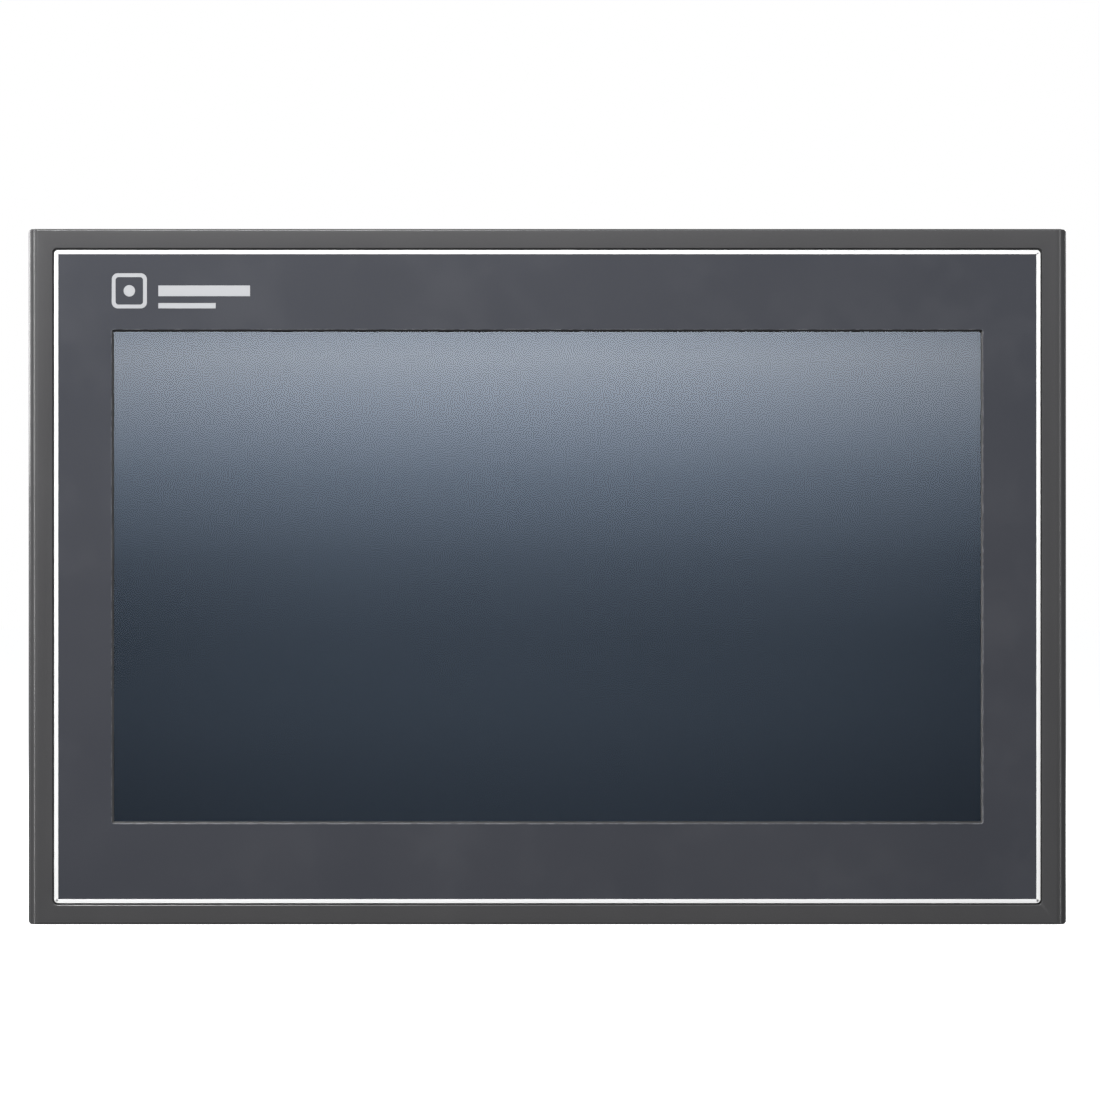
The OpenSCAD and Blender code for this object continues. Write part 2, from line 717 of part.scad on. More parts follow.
// Walls of the bay, between the service board and the cover, with the door's hinge eyes.
module bay_frame() {
    color([0.2, 0.2, 0.21]) difference() {
        block([bay_left - bay_wall, bay_floor, bay_low - bay_wall], [bay_right + bay_wall, plateau_y - wall, bay_high + bay_wall]);
        block([bay_left, bay_floor - 1, bay_low], [bay_right, plateau_y, bay_high]);
    }
    // Hinge eyes on the side walls.
    color([0.2, 0.2, 0.21]) for (x = [bay_left, bay_right - 2]) difference() {
        union() {
            block([x, hinge_y - 2.6, hinge_z - barrel_r], [x + 2, hinge_y, hinge_z + barrel_r]);
            rod_x(x, x + 2, hinge_y, hinge_z, barrel_r);
        }
        rod_x(x - 1, x + 3, hinge_y, hinge_z, hinge_pin_r + 0.05);
    }
}

// Hinged cover over the bay, with a barrel and two stub pins along its lower edge.
module bay_door() {
    left = bay_left + 2 + 0.3;
    right = bay_right - 2 - 0.3;
    middle = (bay_left + bay_right) / 2;
    color([0.22, 0.22, 0.23]) difference() {
        union() {
            block([bay_left + door_gap, plateau_y - door_t, hinge_z + barrel_r + 0.35],
                [bay_right - door_gap, plateau_y, bay_high - door_gap]);
            block([left, plateau_y - door_t, hinge_z], [right, plateau_y, hinge_z + barrel_r + 1]);
            rod_x(left, right, hinge_y, hinge_z, barrel_r);
            rod_x(left - 1.7, right + 1.7, hinge_y, hinge_z, hinge_pin_r);
            // Latch rib behind the top edge.
            block([middle - 8, plateau_y - door_t - 2.4, bay_high - 3], [middle + 8, plateau_y - door_t, bay_high - 1.8]);
        }
        // Finger scoop at the top edge.
        rod_x(middle - 7, middle + 7, plateau_y + 5.4, bay_high - 2, 6.2);
    }
}

// ---- Rear cover ----

// A box from skirt_back rearwards with the raised back on it, shrunk by t all round.
module cover_body(t) {
    slope = plateau_slope;
    low = plateau_low + t;
    high = plateau_high - t;
    half = plateau_w / 2 - t;
    rounded_slab(housing_w - 2 * t, housing_h - 2 * t, 3.4 - t, skirt_back - (t > 0 ? 1 : 0), back_y - t);
    intersection() {
        linear_extrude(200, center = true)
            polygon([[-half, back_y - t - 3], [half, back_y - t - 3], [half, back_y - t],
                [half - slope, plateau_y - t], [-half + slope, plateau_y - t], [-half, back_y - t]]);
        rotate([90, 0, 90]) linear_extrude(200, center = true)
            polygon([[back_y - t - 3, low], [back_y - t - 3, high], [back_y - t, high],
                [plateau_y - t, high - slope], [plateau_y - t, low + slope], [back_y - t, low]]);
    }
}

// The port recess: space taken out of the lower edge, grown by t.
module port_recess(t) {
    block([-notch_half - t, inner_y - t, -housing_h], [notch_half + t, plateau_y + 5, port_z + t]);
}

// A row of n upright vent slots through the back, centred on (x, z).
module vent_row(x, z, n, pitch, w, h, y0, y1) {
    for (k = [0:n - 1])
        translate([x + (k - (n - 1) / 2) * pitch, 0, z]) rounded_slab(w, h, w / 2 - 0.01, y0, y1);
}

module rear_cover() {
    clamp_slot_half = 7.2;
    color([0.17, 0.17, 0.18]) difference() {
        union() {
            difference() {
                cover_body(0);
                cover_body(wall);
                port_recess(0);
            }
            // Walls round the port recess.
            difference() {
                intersection() {
                    cover_body(0);
                    port_recess(wall);
                }
                port_recess(0);
            }
            // Screw wells at the corners.
            for (p = cover_screw_at) rod_y(p[0], p[1], 4.6, well_floor_y, back_y - 1);
        }
        // The port plate's opening in the recess's ceiling.
        block([-notch_half + wall + 0.2, inner_y + 1.2, port_z - 1], [notch_half - wall - 0.2, back_y - 3, port_z + wall + 1]);
        // Vents in the raised back, in the top wall and beside the ports.
        vent_row(0, 43, 25, 6, 2.4, 15, back_y, plateau_y + 1);
        vent_row(0, -34, 25, 6, 2.4, 15, back_y, plateau_y + 1);
        for (k = [0:23]) block([-80.5 + 7 * k - 1.2, 29, 78], [-80.5 + 7 * k + 1.2, 37, 84]);
        // Slots for the clamps' hooks.
        for (c = CLAMPS) block([c[0] - clamp_slot_half, clamp_back - 1.6, c[1] > 0 ? 78 : -84],
            [c[0] + clamp_slot_half, slot_back, c[1] > 0 ? 84 : -78]);
        // Door opening.
        block([bay_left, plateau_y - wall - 1, bay_low], [bay_right, plateau_y + 1, bay_high]);
        // Memory card slot.
        block([120, board_back - 0.2, 23], [130, board_back + 3.6, 50]);
        // Wells and clearance holes of the corner screws.
        for (p = cover_screw_at) {
            rod_y(p[0], p[1], 3.4, well_floor_y + well_floor_t, back_y + 1);
            rod_y(p[0], p[1], 1.7, well_floor_y - 1, back_y);
        }
        // Shallow seat for the label.
        block([-74, plateau_y - 0.3, -14], [2, plateau_y + 1, 26]);
    }
}

module cover_screws() {
    color("silver") for (p = cover_screw_at) screw_y(p[0], p[1], well_floor_y + well_floor_t, 12);
}

module rating_label() {
    color("gainsboro") block([-73, plateau_y - 0.3, -13], [1, plateau_y - 0.15, 25]);
}

module earth_screw() {
    color("gold") translate([earth_x, com_y, port_z]) difference() {
        union() {
            rotate([180, 0, 0]) cylinder(h = 1, r = 4);
            rotate([180, 0, 0]) cylinder(h = 3.2, r = 3);
            cylinder(h = 6, r = 2);
            // Nut behind the port plate.
            translate([0, 0, plate_t]) cylinder(h = 3, r = 4, $fn = 6);
        }
        for (a = [0, 90]) rotate([0, 0, a]) translate([0, 0, -3.2]) cube([4, 0.8, 2], center = true);
    }
}

// ---- Mounting clamps ----

// One clamp above the housing; the others are mirrored and moved copies.
module clamp_body() {
    top = housing_h / 2;
    half = clamp_w / 2;
    difference() {
        union() {
            block([-half, clamp_front, top], [half, clamp_back, top + 8.6]);
            // Arm, hook through the slot, and lip behind the wall.
            block([-half, clamp_back - 4, top], [half, slot_back, top + 2.4]);
            block([-half, clamp_back, top - 4.2], [half, slot_back, top + 2.4]);
            block([-half, clamp_back, top - 4.2], [half, slot_back + 3, top - wall]);
        }
        rod_y(0, screw_z, thread_r + 0.06, clamp_front - 1, clamp_back + 1);
        rod_y(0, screw_z, 2.6, clamp_back - 1, clamp_back + 6);
    }
}

module clamp_bodies() {
    color("silver") for (c = CLAMPS)
        translate([c[0], 0, 0]) if (c[1] > 0) clamp_body(); else mirror([0, 0, 1]) clamp_body();
}

module clamp_pad(n) {
    c = CLAMPS[n - 1];
    color([0.12, 0.12, 0.12]) difference() {
        rod_y(c[0], c[1] * screw_z, pad_r, panel_t, panel_t + pad_t);
        rod_y(c[0], c[1] * screw_z, 1.25, panel_t + 0.8, panel_t + pad_t + 1);
    }
}

module clamp_screw(n) {
    c = CLAMPS[n - 1];
    z = c[1] * screw_z;
    head_y = panel_t + pad_t + 28;
    color("silver") difference() {
        union() {
            rod_y(c[0], z, 1.2, panel_t + 1, panel_t + pad_t + 0.6);
            rod_y(c[0], z, thread_r, panel_t + pad_t + 0.2, head_y + 0.1);
            rod_y(c[0], z, 3.6, head_y, head_y + 2.6);
        }
        for (a = [0, 90])
            translate([c[0], head_y + 2.6, z]) rotate([0, a, 0]) cube([4.4, 2.8, 0.8], center = true);
    }
}

front_bezel();
front_overlay();
border_line();
maker_mark();
panel_gasket();
foam_parts();
touch_film();
touch_glass();
touch_tail();
lcd_front_frame();
lcd_polariser();
lcd_cell();
optical_sheets();
light_guide();
led_strip();
lcd_rear_pan();
lcd_driver_board();
lcd_cable();
chassis_plate();
m3_screws();  // inner_screws
board_spacers();
port_plate();
mainboard();
processor();
memory_chips();
heat_sink();
capacitors();
inductors();
buzzer();
com_ports();
com_jack_screws();
lan_jack();
usb_ports();
power_socket();
card_socket();
power_plug();
power_plug_screws();
service_board();
battery_holder();
coin_cell();
dip_switch();
dip_lever(-1);  // dip_lever_1
dip_lever(1);  // dip_lever_2
reset_switch();
reset_button();
rear_cover();
bay_frame();
bay_door();
cover_screws();
rating_label();
earth_screw();
clamp_bodies();
clamp_pad(1);  // clamp_pad_1
clamp_pad(2);  // clamp_pad_2
clamp_pad(3);  // clamp_pad_3
clamp_pad(4);  // clamp_pad_4
clamp_screw(1);  // clamp_screw_1
clamp_screw(2);  // clamp_screw_2
clamp_screw(3);  // clamp_screw_3
clamp_screw(4);  // clamp_screw_4
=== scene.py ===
import json
import math
import bmesh
import bpy
from mathutils import Matrix, Vector

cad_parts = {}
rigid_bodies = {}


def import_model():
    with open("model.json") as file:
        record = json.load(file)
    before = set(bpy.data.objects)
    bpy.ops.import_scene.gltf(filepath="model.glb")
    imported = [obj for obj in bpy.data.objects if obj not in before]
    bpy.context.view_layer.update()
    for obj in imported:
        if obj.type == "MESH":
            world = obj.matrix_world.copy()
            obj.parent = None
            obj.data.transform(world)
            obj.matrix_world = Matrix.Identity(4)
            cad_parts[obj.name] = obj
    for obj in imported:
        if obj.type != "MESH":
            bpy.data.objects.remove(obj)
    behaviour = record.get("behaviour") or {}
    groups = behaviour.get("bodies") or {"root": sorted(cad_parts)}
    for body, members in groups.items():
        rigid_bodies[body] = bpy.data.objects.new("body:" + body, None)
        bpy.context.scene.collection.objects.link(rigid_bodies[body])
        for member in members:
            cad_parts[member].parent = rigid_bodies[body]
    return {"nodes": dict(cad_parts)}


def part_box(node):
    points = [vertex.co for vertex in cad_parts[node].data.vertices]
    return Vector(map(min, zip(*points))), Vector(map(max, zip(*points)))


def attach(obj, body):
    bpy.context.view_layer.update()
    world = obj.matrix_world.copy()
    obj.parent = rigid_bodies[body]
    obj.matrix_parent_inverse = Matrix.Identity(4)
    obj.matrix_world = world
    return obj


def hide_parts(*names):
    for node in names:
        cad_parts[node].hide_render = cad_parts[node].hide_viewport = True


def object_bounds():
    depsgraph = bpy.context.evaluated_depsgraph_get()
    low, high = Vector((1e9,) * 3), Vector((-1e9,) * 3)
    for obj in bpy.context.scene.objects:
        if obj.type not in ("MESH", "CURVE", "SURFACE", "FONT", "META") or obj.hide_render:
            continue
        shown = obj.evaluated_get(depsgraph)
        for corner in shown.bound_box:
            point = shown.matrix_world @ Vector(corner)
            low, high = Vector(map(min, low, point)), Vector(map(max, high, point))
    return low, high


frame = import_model()
cad_low, cad_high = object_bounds()

MM = 0.001
NODES = frame["nodes"]
SLOT_OF = {name: node.data.materials[0].name for name, node in NODES.items()}
BODY_OF = {name: node.parent.name.split(":", 1)[-1] for name, node in NODES.items()}


# ---- Wiring of node trees ----

class Bench:
    """Adds and joins the nodes of one tree: a finish, an effect or a shape."""

    def __init__(self, tree):
        self.tree = tree

    def add(self, kind, plugs=None, **settings):
        node = self.tree.nodes.new(kind)
        for key, value in settings.items():
            setattr(node, key, value)
        for key, value in (plugs or {}).items():
            self.plug(node.inputs[key], value)
        return node

    def plug(self, socket, value):
        if isinstance(value, bpy.types.NodeSocket):
            self.tree.links.new(value, socket)
        else:
            socket.default_value = value

    def math(self, operation, a, b=0.0, clamp=False):
        node = self.add("ShaderNodeMath", {0: a, 1: b}, operation=operation, use_clamp=clamp)
        return node.outputs[0]

    def span(self, value, low, high, to_low=0.0, to_high=1.0):
        plugs = {"Value": value, "From Min": low, "From Max": high, "To Min": to_low, "To Max": to_high}
        return self.add("ShaderNodeMapRange", plugs).outputs["Result"]

    def blend(self, factor, a, b, mode="MIX"):
        node = self.add("ShaderNodeMix", data_type="RGBA", blend_type=mode)
        for index, value in ((0, factor), (6, a), (7, b)):
            self.plug(node.inputs[index], value)
        return node.outputs[2]

    def noise(self, place, scale, detail=2.0, roughness=0.5):
        plugs = {"Vector": place, "Scale": scale, "Detail": detail, "Roughness": roughness}
        return self.add("ShaderNodeTexNoise", plugs).outputs[0]

    def cells(self, place, scale, output="Distance"):
        return self.add("ShaderNodeTexVoronoi", {"Vector": place, "Scale": scale}).outputs[output]

    def place(self):
        return self.add("ShaderNodeTexCoord").outputs["Object"]

    def effect(self, name, **values):
        node = self.add("ShaderNodeGroup", node_tree=EFFECTS[name])
        for key, value in values.items():
            self.plug(node.inputs[key], value)
        return node.outputs


def effect_tree(name, inputs, outputs):
    """An empty effect group with its named sockets; gives the bench, the input sockets and the end node."""
    tree = bpy.data.node_groups.new(name, "ShaderNodeTree")
    for label, default in inputs.items():
        kind = "NodeSocketVector" if isinstance(default, tuple) else "NodeSocketFloat"
        tree.interface.new_socket(name=label, in_out="INPUT", socket_type=kind).default_value = default
    for label in outputs:
        tree.interface.new_socket(name=label, in_out="OUTPUT", socket_type="NodeSocketFloat")
    bench = Bench(tree)
    return bench, bench.add("NodeGroupInput").outputs, bench.add("NodeGroupOutput").inputs


def moulded_grain():
    """Fine grain with pits, and slow changes of shade and gloss."""
    bench, given, end = effect_tree("moulded grain", {"Size": 0.0004, "Blotch": 0.1},
                                    ["Height", "Shade", "Gloss"])
    place = bench.place()
    scale = bench.math("DIVIDE", 1.0, given["Size"])
    fine = bench.noise(place, scale)
    pits = bench.cells(place, bench.math("MULTIPLY", scale, 0.7))
    broad = bench.noise(place, 26.0, 3.0)
    height = bench.math("ADD", bench.math("MULTIPLY", fine, 0.6), bench.math("MULTIPLY", pits, 0.5))
    bench.plug(end["Height"], height)
    mixed = bench.math("ADD", broad, bench.math("MULTIPLY", bench.math("SUBTRACT", fine, 0.5), 0.8))
    swing = bench.math("MULTIPLY", bench.math("SUBTRACT", mixed, 0.5), given["Blotch"])
    bench.plug(end["Shade"], bench.math("ADD", 1.0, swing))
    bench.plug(end["Gloss"], bench.math("MULTIPLY", bench.math("SUBTRACT", broad, 0.5), 0.16))
    return bench.tree


def worn_edges():
    """A mask of edges, broken into patches: rubbed wear, and on the overlay film painted highlight."""
    bench, given, end = effect_tree("worn edges", {"Radius": 0.0004, "Amount": 0.5}, ["Mask"])
    rounded = bench.add("ShaderNodeBevel", {"Radius": given["Radius"]}, samples=4).outputs[0]
    true = bench.add("ShaderNodeNewGeometry").outputs["Normal"]
    agree = bench.add("ShaderNodeVectorMath", {0: rounded, 1: true}, operation="DOT_PRODUCT").outputs["Value"]
    edge = bench.span(agree, 0.995, 0.8)
    patches = bench.span(bench.noise(bench.place(), 420.0, 4.0, 0.7), 0.42, 0.62)
    rubbed = bench.math("MULTIPLY", edge, patches)
    bench.plug(end["Mask"], bench.math("MULTIPLY", rubbed, given["Amount"], True))
    return bench.tree


def settled_dust():
    """A mask of dust: specks and a thin veil, thicker on faces that look up."""
    bench, given, end = effect_tree("settled dust", {"Amount": 0.2}, ["Mask"])
    normal = bench.add("ShaderNodeNewGeometry").outputs["Normal"]
    up = bench.add("ShaderNodeSeparateXYZ", {0: normal}).outputs["Z"]
    specks = bench.span(bench.noise(bench.place(), 900.0, 5.0, 0.75), 0.45, 0.75)
    veil = bench.span(bench.noise(bench.place(), 40.0, 3.0), 0.3, 0.8)
    lying = bench.span(up, -0.3, 1.0, 0.15, 1.0)
    both = bench.math("ADD", bench.math("MULTIPLY", specks, 0.5), veil)
    settled = bench.math("MULTIPLY", both, lying)
    bench.plug(end["Mask"], bench.math("MULTIPLY", settled, given["Amount"], True))
    return bench.tree


def finger_marks():
    """Smears that dull a surface where hands touch it."""
    bench, given, end = effect_tree("finger marks", {"Amount": 0.1}, ["Gloss"])
    place = bench.place()
    smears = bench.span(bench.noise(place, 55.0, 5.0, 0.65), 0.48, 0.68)
    streaks = bench.noise(place, 300.0, 3.0)
    both = bench.math("MULTIPLY", smears, bench.math("ADD", 0.5, streaks))
    bench.plug(end["Gloss"], bench.math("MULTIPLY", both, given["Amount"]))
    return bench.tree


def drawn_lines():
    """Lines left by rolling, drawing or turning, long in the direction that is stretched least."""
    bench, given, end = effect_tree("drawn lines", {"Stretch": (1.0, 1.0, 1.0), "Size": 0.0003},
                                    ["Height", "Shade"])
    stretched = bench.add("ShaderNodeVectorMath", {0: bench.place(), 1: given["Stretch"]},
                          operation="MULTIPLY")
    scale = bench.math("DIVIDE", 1.0, given["Size"])
    lines = bench.noise(stretched.outputs[0], scale, 4.0, 0.6)
    bench.plug(end["Height"], lines)
    bench.plug(end["Shade"], bench.span(lines, 0.25, 0.75, 0.9, 1.1))
    return bench.tree


def plating_bloom():
    """Cloudy changes of shade and gloss in a plated layer."""
    bench, given, end = effect_tree("plating bloom", {"Size": 0.004, "Amount": 0.2}, ["Shade", "Gloss"])
    place = bench.place()
    scale = bench.math("DIVIDE", 1.0, given["Size"])
    spangle = bench.noise(place, scale, 4.0, 0.6)
    cloud = bench.noise(place, bench.math("MULTIPLY", scale, 0.2), 3.0)
    both = bench.math("SUBTRACT", bench.math("ADD", spangle, cloud), 1.0)
    bench.plug(end["Shade"], bench.math("ADD", 1.0, bench.math("MULTIPLY", both, given["Amount"])))
    bench.plug(end["Gloss"], bench.math("MULTIPLY", both, 0.25))
    return bench.tree


def foam_cells():
    """Closed cells, darker between them."""
    bench, given, end = effect_tree("foam cells", {"Size": 0.0005}, ["Height", "Shade"])
    place = bench.place()
    scale = bench.math("DIVIDE", 1.0, given["Size"])
    cells = bench.cells(place, scale)
    bench.plug(end["Height"], cells)
    bench.plug(end["Shade"], bench.span(cells, 0.0, 0.7, 0.55, 1.25))
    return bench.tree


EFFECTS = {}
for make_effect in (moulded_grain, worn_edges, settled_dust, finger_marks, drawn_lines, plating_bloom,
                    foam_cells):
    tree = make_effect()
    EFFECTS[tree.name] = tree


# ---- Finishes ----

DUST = (0.42, 0.41, 0.38, 1.0)
DUST_ROUGHNESS = 0.4
COAT_ROUGHNESS = 0.18


def new_finish(name, **constants):
    """A bare material with one shader; gives its bench and the shader's inputs."""
    material = bpy.data.materials.new("hmi_" + name)
    material.use_nodes = True
    material.node_tree.nodes.clear()
    bench = Bench(material.node_tree)
    shader = bench.add("ShaderNodeBsdfPrincipled", constants)
    bench.add("ShaderNodeOutputMaterial", {"Surface": shader.outputs[0]})
    return material, bench, shader.inputs


def solid(colour):
    """A colour with full cover."""
    return (*colour, 1.0)


def grey(bench, value):
    """One value as a neutral colour."""
    return bench.add("ShaderNodeCombineColor", {0: value, 1: value, 2: value}).outputs[0]


def bumped(bench, height, strength, distance):
    """The surface normal, raised by a height."""
    plugs = {"Height": height, "Strength": strength, "Distance": distance}
    return bench.add("ShaderNodeBump", plugs).outputs[0]


def moulded(name, colour, roughness=0.5, grain=0.35, depth=0.3, blotch=0.12, wear=0.25, worn=None, dust=0.1,
            specular=0.5, coat=0.0):
    """Moulded or printed plastic: grain, slow shade changes, rubbed edges and a little dust. On the overlay
    film the pale edge colour is painted highlight.
    """
    constants = {"Specular IOR Level": specular, "Coat Weight": coat, "Coat Roughness": COAT_ROUGHNESS}
    material, bench, shader = new_finish(name, **constants)
    skin = bench.effect("moulded grain", Size=grain * MM, Blotch=blotch)
    edge = bench.effect("worn edges", Radius=0.35 * MM, Amount=wear)["Mask"]
    veil = bench.effect("settled dust", Amount=dust)["Mask"]
    base = bench.blend(1.0, solid(colour), grey(bench, skin["Shade"]), "MULTIPLY")
    # Lighter edge colour: rubbed wear, and on the overlay film painted highlight that makes its cut edges
    # show as a light line.
    base = bench.blend(edge, base, solid(worn or [min(1.0, c * 1.9 + 0.02) for c in colour]))
    bench.plug(shader["Base Color"], bench.blend(veil, base, DUST))
    marks = bench.effect("finger marks", Amount=0.12)["Gloss"]
    rough = bench.math("ADD", bench.math("ADD", roughness, skin["Gloss"]), marks)
    dusty = bench.math("MULTIPLY", veil, DUST_ROUGHNESS)
    bench.plug(shader["Roughness"], bench.math("ADD", rough, dusty, True))
    bench.plug(shader["Normal"], bumped(bench, skin["Height"], depth, grain * 0.35 * MM))
    return material


def plated(name, colour, roughness=0.3, stretch=(1.0, 1.0, 1.0), line=0.3, depth=0.1, bloom=0.2,
           bloom_size=4.0, wear=0.3, worn=(0.75, 0.74, 0.72), dust=0.06, metallic=1.0):
    """Rolled, turned or plated metal: drawn lines, plating bloom and brighter rubbed edges."""
    material, bench, shader = new_finish(name)
    lines = bench.effect("drawn lines", Stretch=stretch, Size=line * MM)
    mottle = bench.effect("plating bloom", Size=bloom_size * MM, Amount=bloom)
    edge = bench.effect("worn edges", Radius=0.3 * MM, Amount=wear)["Mask"]
    veil = bench.effect("settled dust", Amount=dust)["Mask"]
    shade = bench.math("MULTIPLY", lines["Shade"], mottle["Shade"])
    base = bench.blend(1.0, solid(colour), grey(bench, shade), "MULTIPLY")
    base = bench.blend(edge, base, solid(worn))
    bench.plug(shader["Base Color"], bench.blend(veil, base, DUST))
    bench.plug(shader["Metallic"], bench.math("MULTIPLY", bench.math("SUBTRACT", 1.0, veil), metallic))
    rough = bench.math("ADD", roughness, mottle["Gloss"])
    dusty = bench.math("MULTIPLY", veil, DUST_ROUGHNESS)
    bench.plug(shader["Roughness"], bench.math("ADD", rough, dusty, True))
    bench.plug(shader["Normal"], bumped(bench, lines["Height"], depth, 0.03 * MM))
    return material


def cellular(name, colour, cell, roughness=0.85, depth=0.6):
    """Closed-cell rubber or foam."""
    material, bench, shader = new_finish(name, **{"Specular IOR Level": 0.3})
    foam = bench.effect("foam cells", Size=cell * MM)
    veil = bench.effect("settled dust", Amount=0.12)["Mask"]
    base = bench.blend(1.0, solid(colour), grey(bench, foam["Shade"]), "MULTIPLY")
    bench.plug(shader["Base Color"], bench.blend(veil, base, DUST))
    rough = bench.math("ADD", roughness, bench.math("MULTIPLY", foam["Shade"], 0.08), True)
    bench.plug(shader["Roughness"], rough)
    bench.plug(shader["Normal"], bumped(bench, foam["Height"], depth, cell * 0.3 * MM))
    return material


def clear_layer(name, tint, ior, roughness):
    """A clear sheet: the touch panel's film and glass."""
    material, bench, shader = new_finish(name, **{"Transmission Weight": 1.0, "IOR": ior, "Metallic": 0.0})
    skin = bench.effect("moulded grain", Size=4 * MM, Blotch=0.02)
    bench.plug(shader["Base Color"], bench.blend(1.0, solid(tint), grey(bench, skin["Shade"]), "MULTIPLY"))
    bench.plug(shader["Roughness"], bench.math("MULTIPLY", skin["Shade"], roughness))
    return material


def display_face(name):
    """The dark front polariser of the switched-off display."""
    material, bench, shader = new_finish(name, **{"Specular IOR Level": 0.5})
    skin = bench.effect("moulded grain", Size=0.2 * MM, Blotch=0.12)
    tint = bench.blend(bench.noise(bench.place(), 9.0), (0.031, 0.048, 0.067, 1.0), (0.033, 0.051, 0.07, 1.0))
    bench.plug(shader["Base Color"], bench.blend(1.0, tint, grey(bench, skin["Shade"]), "MULTIPLY"))
    bench.plug(shader["Roughness"], bench.span(skin["Shade"], 0.9, 1.1, 0.24, 0.26))
    bench.plug(shader["Normal"], bumped(bench, skin["Height"], 0.02, 0.005 * MM))
    return material


def circuit_board(name):
    """Green solder mask over copper runs, with bare tinned pads here and there."""
    material, bench, shader = new_finish(name, **{"Specular IOR Level": 0.5})
    place = bench.place()
    runs = bench.cells(bench.add("ShaderNodeVectorMath", {0: place, 1: (1.0, 0.0, 3.0)},
                                 operation="MULTIPLY").outputs[0], 420.0)
    across = bench.cells(bench.add("ShaderNodeVectorMath", {0: place, 1: (3.0, 0.0, 1.0)},
                                   operation="MULTIPLY").outputs[0], 300.0)
    copper = bench.span(bench.math("MINIMUM", runs, across), 0.2, 0.24)
    pads = bench.span(bench.cells(place, 260.0), 0.13, 0.1)
    weave = bench.effect("drawn lines", Stretch=(1.0, 1.0, 0.2), Size=0.4 * MM)
    mask = bench.blend(copper, (0.006, 0.05, 0.02, 1.0), (0.012, 0.1, 0.038, 1.0))
    mask = bench.blend(1.0, mask, grey(bench, weave["Shade"]), "MULTIPLY")
    bench.plug(shader["Base Color"], bench.blend(pads, mask, (0.62, 0.6, 0.56, 1.0)))
    bench.plug(shader["Metallic"], pads)
    bench.plug(shader["Roughness"], bench.span(weave["Shade"], 0.9, 1.1, 0.26, 0.4))
    bench.plug(shader["Normal"], bumped(bench, bench.math("ADD", copper, pads), 0.3, 0.03 * MM))
    return material


UPRIGHT = (1.0, 1.0, 0.04)
SIDEWAYS = (0.04, 1.0, 1.0)
INWARD = (1.0, 0.05, 1.0)

